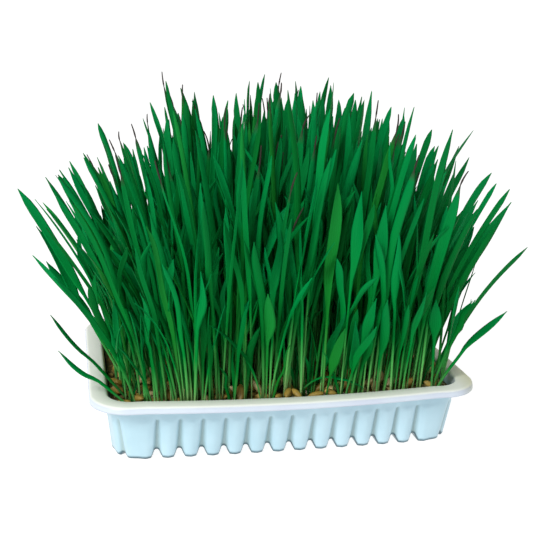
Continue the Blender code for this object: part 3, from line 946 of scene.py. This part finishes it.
def plan_grass(crowd):
    """Blades of each row, by the CAD rule: one that would cross another is drawn again."""
    dice = random.Random(SEED_OF_BLADES)
    rows = [[stray_blade(stray) for stray in STRAYS if stray[0] == row] for row in range(ROWS)]
    for blade in sum(rows, []):
        crowd.add(blade_solid(blade))
    step = 2 * ROW_HALF / PLANTS_PER_ROW
    for row in range(ROWS):
        for plant in range(PLANTS_PER_ROW):
            x = -ROW_HALF + (plant + 0.5) * step + dice.uniform(-0.25, 0.25) * step
            for _ in range(TRIES):
                blade = field_blade(dice, row, x)
                if crowd.has_room(blade_solid(blade, CLEARANCE)):
                    rows[row].append(blade)
                    crowd.add(blade_solid(blade))
                    break
    return rows


def left_share(x):
    """Share of a leaf's width that is left at x: the stand is finer on the left."""
    return lerp(LEFT_SLIMMER, 1.0, smooth(*LEFT_SLIMMER_PLACES, x))


def slimmer(dice, row, blades):
    """A row's blades, the stray ones first, at the width of their finer form, slimmer at the front."""
    shares = [stray[-1] for stray in STRAYS if stray[0] == row]
    front = lerp(FRONT_SLIMMER, 1.0, smooth(0, ROWS / 2, row))
    shares += [dice.triangular(*SLIM_SHARES) * front * left_share(blade.root.x)
               for blade in blades[len(shares):]]
    return [blade._replace(width=blade.width * share) for blade, share in zip(blades, shares)]


def plan_filler(dice, crowd, rule):
    """More blades from all over the bed, which fill the stand between the rows."""
    placed = []
    half_x, half_y = STEM_SPREAD
    for _ in range(rule.tries):
        x = dice.uniform(-half_x, half_x)
        x, y = pull_inside(x, lerp(-half_y, half_y, dice.random() ** rule.front), STEM_EDGE)
        across, deep = min(abs(x) / ROW_HALF, 1.0), y / FIRST_ROW_Y
        root = Vector((x, y, FILLER_FOOT))
        height = stand_height(x) * dice.uniform(*rule.heights)
        reach = height / BLADE_LENGTH
        side_splay = RIGHT_SPLAY if x > 0 else LEFT_SPLAY
        splay_x = math.copysign(side_splay * reach * across ** 1.7, x) + dice.gauss(0, rule.sway)
        splay_y = -DEPTH_SPLAY * reach * deep + dice.gauss(0, rule.sway)
        furthest = reach_at(root.z + height)
        splay_x = min(max(splay_x, -furthest - x), furthest - x)
        splay_y = min(max(splay_y, -FRONT_REACH - y), FRONT_REACH - y)
        tip = root + Vector((splay_x, splay_y, height))
        bend = dice.uniform(0.05, 0.35)
        control = root + Vector((splay_x * bend, splay_y * bend, height * dice.uniform(0.5, 0.64)))
        width = dice.uniform(*rule.widths) * left_share(x)
        blade = Blade(root, control, tip, width, dice.uniform(-1.5, 1.5))
        if crowd.takes(core_solid(blade)):
            placed.append(blade)
    return placed


def plan_shown_leaves(dice, crowd):
    """The broad leaves that stand out in front, each from the first of its roots that has room."""
    placed = []
    for root_x, tip_x, tip_z, width in SHOWN_LEAVES:
        for root_y in SHOWN_ROOT_YS:
            root, tip = Vector((root_x, root_y, FILLER_FOOT)), Vector((tip_x, SHOWN_TIP_Y, tip_z))
            rise = tip - root
            control = root + Vector((rise.x * 0.3, rise.y * 0.3, rise.z * 0.55))
            blade = Blade(root, control, tip, width, dice.uniform(-0.5, 0.5))
            if crowd.takes(core_solid(blade)):
                placed.append(blade)
                break
    return placed


def reach_at(z):
    """How far out to the side a leaf that isn't a row's own blade may end, at a height."""
    return lerp(*SIDE_REACHES, smooth(*SIDE_REACH_HEIGHTS, z))


def side_leaf(dice, blade, crowd, starts):
    """A younger leaf that leaves the stem part way up, clear of the other blades, and where it
    leaves; the leaf is None where there is no room."""
    for _ in range(SIDE_LEAF_TRIES):
        start = dice.uniform(*starts)
        root = blade.at(start)
        length = (blade.tip - blade.root).length * dice.uniform(0.26, 0.60) * (1.15 - start)
        turn = dice.uniform(0, 2 * math.pi)
        lean = direction(turn) * dice.uniform(0.10, 0.50)
        heading = blade.heading(start)
        control = root + (heading + lean * 0.5).normalized() * length * 0.5
        tip = root + (heading + lean).normalized() * length
        width = dice.uniform(*SIDE_LEAF_WIDTHS) * left_share(root.x)
        leaf = Blade(root, control, tip, width, turn + math.pi / 2)
        is_near = abs(tip.x) < reach_at(tip.z) and abs(tip.y) < FRONT_REACH
        if is_near and crowd.takes(core_solid(leaf.after(SIDE_LEAF_FREE))):
            return leaf, start
    return None, 0.0


def draw_form(dice, blade, opens):
    """Where a leaf opens from its stem, is full width and starts to narrow, how blunt it ends, and
    how thick its stem is. Wide leaves have longer tips than slim ones."""
    broad = smooth(*TIPPED_WIDTHS, blade.width)
    tip = lerp(*TIP_LENGTHS, broad) * dice.uniform(0.6, 1.4) / (blade.tip - blade.root).length
    return Form(opens, opens + dice.uniform(0.16, 0.32), max(1.0 - tip, 0.55),
                lerp(2.4, 1.5, broad) + dice.uniform(-0.2, 0.6), dice.uniform(0.7, 1.25))


def width_at(blade, share, form):
    """Width of the stem, then of the blade that opens from it and narrows to a point."""
    stem = lerp(SLIM_ROOT_WIDTH, SLIM_STEM_WIDTH, smooth(0.0, form.opens, share)) * form.stem
    full = lerp(stem, blade.width, smooth(form.opens, form.wide, share))
    if share > form.narrows:
        full *= 1.0 - ((share - form.narrows) / (1.0 - form.narrows)) ** form.fullness
    return max(full, TIP_WIDTH)


def leaf_sections(dice, blade, rings, opens, thread):
    """(share, centre, heading, width, dryness) up the leaf, with a dry thread past some tips."""
    found = []
    form = draw_form(dice, blade, opens)
    wave, phase = dice.uniform(0.0, WAVE), dice.uniform(0, 2 * math.pi)
    aside = direction(blade.turn)
    for ring in range(rings):
        share = 1.0 - (1.0 - ring / (rings - 1)) ** 1.35
        sway = aside * wave * smooth(opens, 0.6, share) * math.sin(share * 9 + phase)
        width = width_at(blade, share, form)
        dryness = smooth(0.95, 1.0, share) if thread else 0.0
        found.append((share, blade.at(share) + sway, blade.heading(share), width, dryness))
    if not thread:
        return found
    place, heading = found[-1][1], found[-1][2].copy()
    thread = min(thread, THREAD_TOP - place.z)
    curl = Vector((dice.uniform(-1, 1), dice.uniform(-1, 1), dice.uniform(-0.5, 0.2)))
    curl *= dice.uniform(0.0, 0.14)
    for step in range(THREAD_STEPS):
        heading = (heading + curl).normalized()
        place = place + heading * thread / THREAD_STEPS
        width = lerp(THREAD_WIDTH, THREAD_WIDTH / 2, step / THREAD_STEPS)
        found.append((1.0, place, heading, width, 1.0))
    return found


def leaf_shape(dice, blade, rings, opens, twist=0.6, thread=0.0, pale_until=0.0, least_tone=0.0):
    """A folded, slightly twisted leaf on a round stem, closed and thin. pale_until is the share of
    the plant's length below the leaf, which the colour starts from. Its tone runs from 0, dull, to 1."""
    twist = dice.uniform(-twist, twist)
    fold = dice.uniform(0.15, 0.60) * dice.choice((-1, 1))
    tone = lerp(least_tone, 1.0, dice.random())
    first_edge = direction(blade.turn)
    points, values = [], []
    sections = leaf_sections(dice, blade, rings, opens, thread)
    for share, centre, along, width, dryness in sections:
        keel = along.cross(first_edge).normalized()
        edge = keel.cross(along)
        angle = twist * smooth(0.3, 1.0, share)
        cos, sin = math.cos(angle), math.sin(angle)
        edge, keel = edge * cos + keel * sin, keel * cos - edge * sin
        flat = smooth(opens * 0.9, opens + 0.2, share) * (1.0 - dryness)
        thick = lerp(width * 0.9, LEAF_THICKNESS * (1.15 - 0.6 * share), flat)
        rise = fold * flat * width / 2
        for turn in turns(LEAF_SIDES):
            across = math.cos(turn)
            depth = math.sin(turn) * thick / 2 + rise * abs(across)
            points.append(centre + edge * across * width / 2 + keel * depth)
            values.append((lerp(pale_until, 1.0, share), across * 0.5 + 0.5, tone, dryness))
    points += [sections[0][1], sections[-1][1] + sections[-1][2] * TIP_WIDTH]
    values += [(pale_until, 0.5, tone, 0.0), (1.0, 0.5, tone, sections[-1][4])]
    return points, loft_faces(len(sections), LEAF_SIDES), values


def thread_length(dice, blade):
    """How long the dry thread at a plant's tip is, or 0 for a plain tip."""
    if abs(blade.root.x) > THREAD_MOST_X or dice.random() > THREAD_SHARE:
        return 0.0
    return dice.uniform(*THREAD_LENGTHS)


def build_row_leaves(name, dice, blades, strays, crowd, material):
    """A CAD row's plants, the stray ones first, with side leaves on the others."""
    batch = Batch()
    for index, blade in enumerate(blades):
        is_stray = index < strays
        thread = 0.0 if is_stray else thread_length(dice, blade)
        opens = STRAY_OPENING_SHARE if is_stray else OPENING_SHARE
        batch.add(*leaf_shape(dice, blade, PLANT_RINGS, opens, thread=thread))
        for starts in () if is_stray else SIDE_LEAF_STARTS:
            leaf, start = side_leaf(dice, blade, crowd, starts)
            if leaf:
                batch.add(*leaf_shape(dice, leaf, SIDE_LEAF_RINGS, SIDE_LEAF_OPENS, 1.0, pale_until=start))
    return batch.build(name, material, "leaf")


def build_filler(name, dice, blades, rule, material):
    batch = Batch()
    for blade in blades:
        batch.add(*leaf_shape(dice, blade, rule.rings, rule.opens, 1.2, least_tone=rule.least_tone))
    return batch.build(name, material, "leaf")


# Stage

def build_camera():
    yaw, pitch, roll = CAMERA_YAW_PITCH_ROLL
    forward = Vector((math.sin(yaw) * math.cos(pitch), math.cos(yaw) * math.cos(pitch), -math.sin(pitch)))
    level = Vector((math.cos(yaw), -math.sin(yaw), 0.0))
    above = level.cross(forward)
    right = level * math.cos(roll) + above * math.sin(roll)
    up = above * math.cos(roll) - level * math.sin(roll)
    camera = link("camera", bpy.data.cameras.new("camera"))
    camera.data.sensor_width = SENSOR_MM
    camera.data.lens = FOCAL_PX / IMAGE_PX * SENSOR_MM
    camera.data.clip_start = 0.01
    turn = Matrix((right, up, -forward)).transposed().to_4x4()
    camera.matrix_world = Matrix.Translation(CAMERA_PLACE) @ turn
    bpy.context.scene.camera = camera


def build_key_light():
    light = bpy.data.lights.new("key", "AREA")
    light.shape, light.size, light.energy, light.color = "DISK", KEY_SIZE, KEY_POWER, KEY_COLOUR
    key = link("key", light)
    key.location = KEY_PLACE
    key.rotation_euler = (Vector(KEY_TARGET) - Vector(KEY_PLACE)).to_track_quat("-Z", "Y").to_euler()


def build_stage():
    corners = [(x * FLOOR_HALF, y * FLOOR_HALF, 0) for x, y in ((-1, -1), (1, -1), (1, 1), (-1, 1))]
    floor = link_mesh("floor", corners, [(0, 1, 2, 3)], floor_material())
    floor.location.z = -0.0002
    world = bpy.data.worlds.new("studio")
    world.use_nodes = True
    tree = world.node_tree
    height = tree.nodes.new("ShaderNodeSeparateXYZ")
    fade = tree.nodes.new("ShaderNodeMapRange")
    limits = {"From Min": 0.10, "From Max": 0.35, "To Min": 1.05, "To Max": SKY_STRENGTH}
    for socket, value in limits.items():
        fade.inputs[socket].default_value = value
    tree.links.new(tree.nodes.new("ShaderNodeTexCoord").outputs["Generated"], height.inputs[0])
    tree.links.new(height.outputs["Z"], fade.inputs["Value"])
    background = tree.nodes["Background"]
    background.inputs["Color"].default_value = (1.0, 1.0, 1.0, 1.0)
    tree.links.new(fade.outputs[0], background.inputs["Strength"])
    bpy.context.scene.world = world
    bpy.context.scene.view_settings.view_transform = "Standard"
    build_key_light()


def dress(piece, node):
    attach(piece, "root")
    if node:
        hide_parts(node)


def main():
    soil, grass = soil_material(), grass_material()
    build_camera()
    build_stage()
    dress(build_tray(plastic_material()), "tray")
    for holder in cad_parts["growing_medium"].material_slots:
        holder.material = soil
    cad_crowd = Crowd()
    rows = plan_grass(cad_crowd)
    grains = plan_cad_grains(cad_crowd)
    dice = random.Random(SEED_OF_FINE_PARTS)
    rows = [slimmer(dice, row, blades) for row, blades in enumerate(rows)]
    crowd = Crowd()
    for blade in sum(rows, []):
        crowd.add(core_solid(blade))
    for grain in grains:
        crowd.add(grain_at(*grain))
    grains += plan_more_grains(dice, crowd)
    dress(build_bed(soil), "seed_mat")
    dress(build_grains(dice, grains, grain_material()), None)
    dress(build_crumbs(dice, soil), None)
    dress(build_roots(dice, root_material()), None)
    shown = plan_shown_leaves(dice, crowd)
    for row, blades in enumerate(rows):
        strays = sum(stray[0] == row for stray in STRAYS)
        piece = build_row_leaves(f"blades_{row + 1:02d}", dice, blades, strays, crowd, grass)
        dress(piece, f"grass_row_{row + 1:02d}")
    for name, rule in FILLERS.items():
        blades = plan_filler(dice, crowd, rule)
        if name == "blades_broad":
            blades += shown
        dress(build_filler(name, dice, blades, rule, grass), None)


main()
